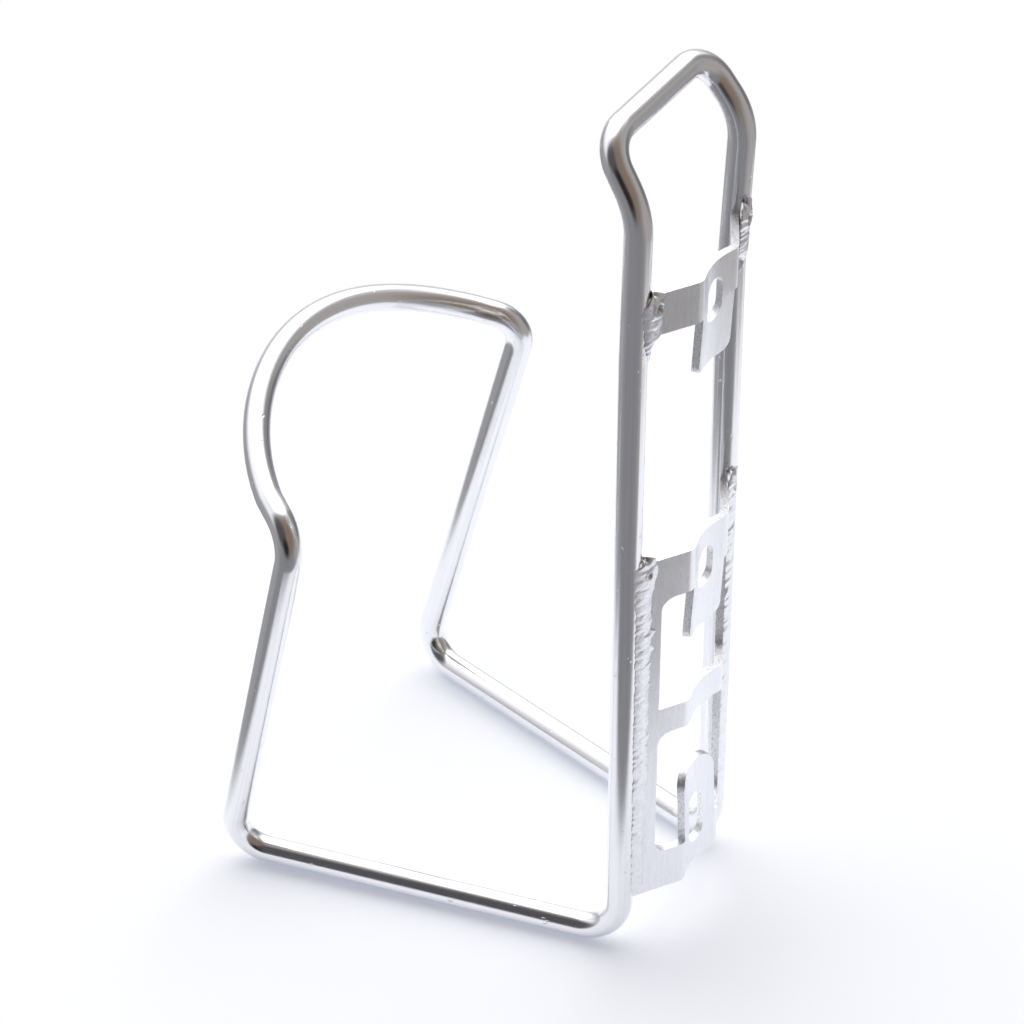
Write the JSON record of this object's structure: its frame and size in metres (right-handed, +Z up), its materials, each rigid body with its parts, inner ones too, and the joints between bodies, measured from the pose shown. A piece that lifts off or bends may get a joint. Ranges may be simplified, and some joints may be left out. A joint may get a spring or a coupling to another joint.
{
  "type": "bicycle water bottle cage",
  "caption": "Bent aluminium rod bottle cage with a leaning front hoop and two folded, slotted mounting brackets welded between its uprights.",
  "frame": {"origin": "middle of the footprint, on the surface that the two base rails stand on", "axes": "+Z up along the uprights, +Y towards the bicycle frame tube, -Y towards the front hoop, +X to the right seen from the hoop"},
  "size_m": [0.0894, 0.0978, 0.1949],
  "materials": {
    "rod": "polished, with fine drawn lines along the rod",
    "sheet": "fine brushed, bare sheared edges",
    "weld": "rippled bare weld metal"
  },
  "bodies": {
    "root": {"cage_rod": "rod", "upper_bracket": "sheet", "lower_bracket": "sheet", "upper_weld_left": "weld", "upper_weld_right": "weld", "lower_weld_left": "weld", "lower_weld_right": "weld"}
  },
  "joints": []
}
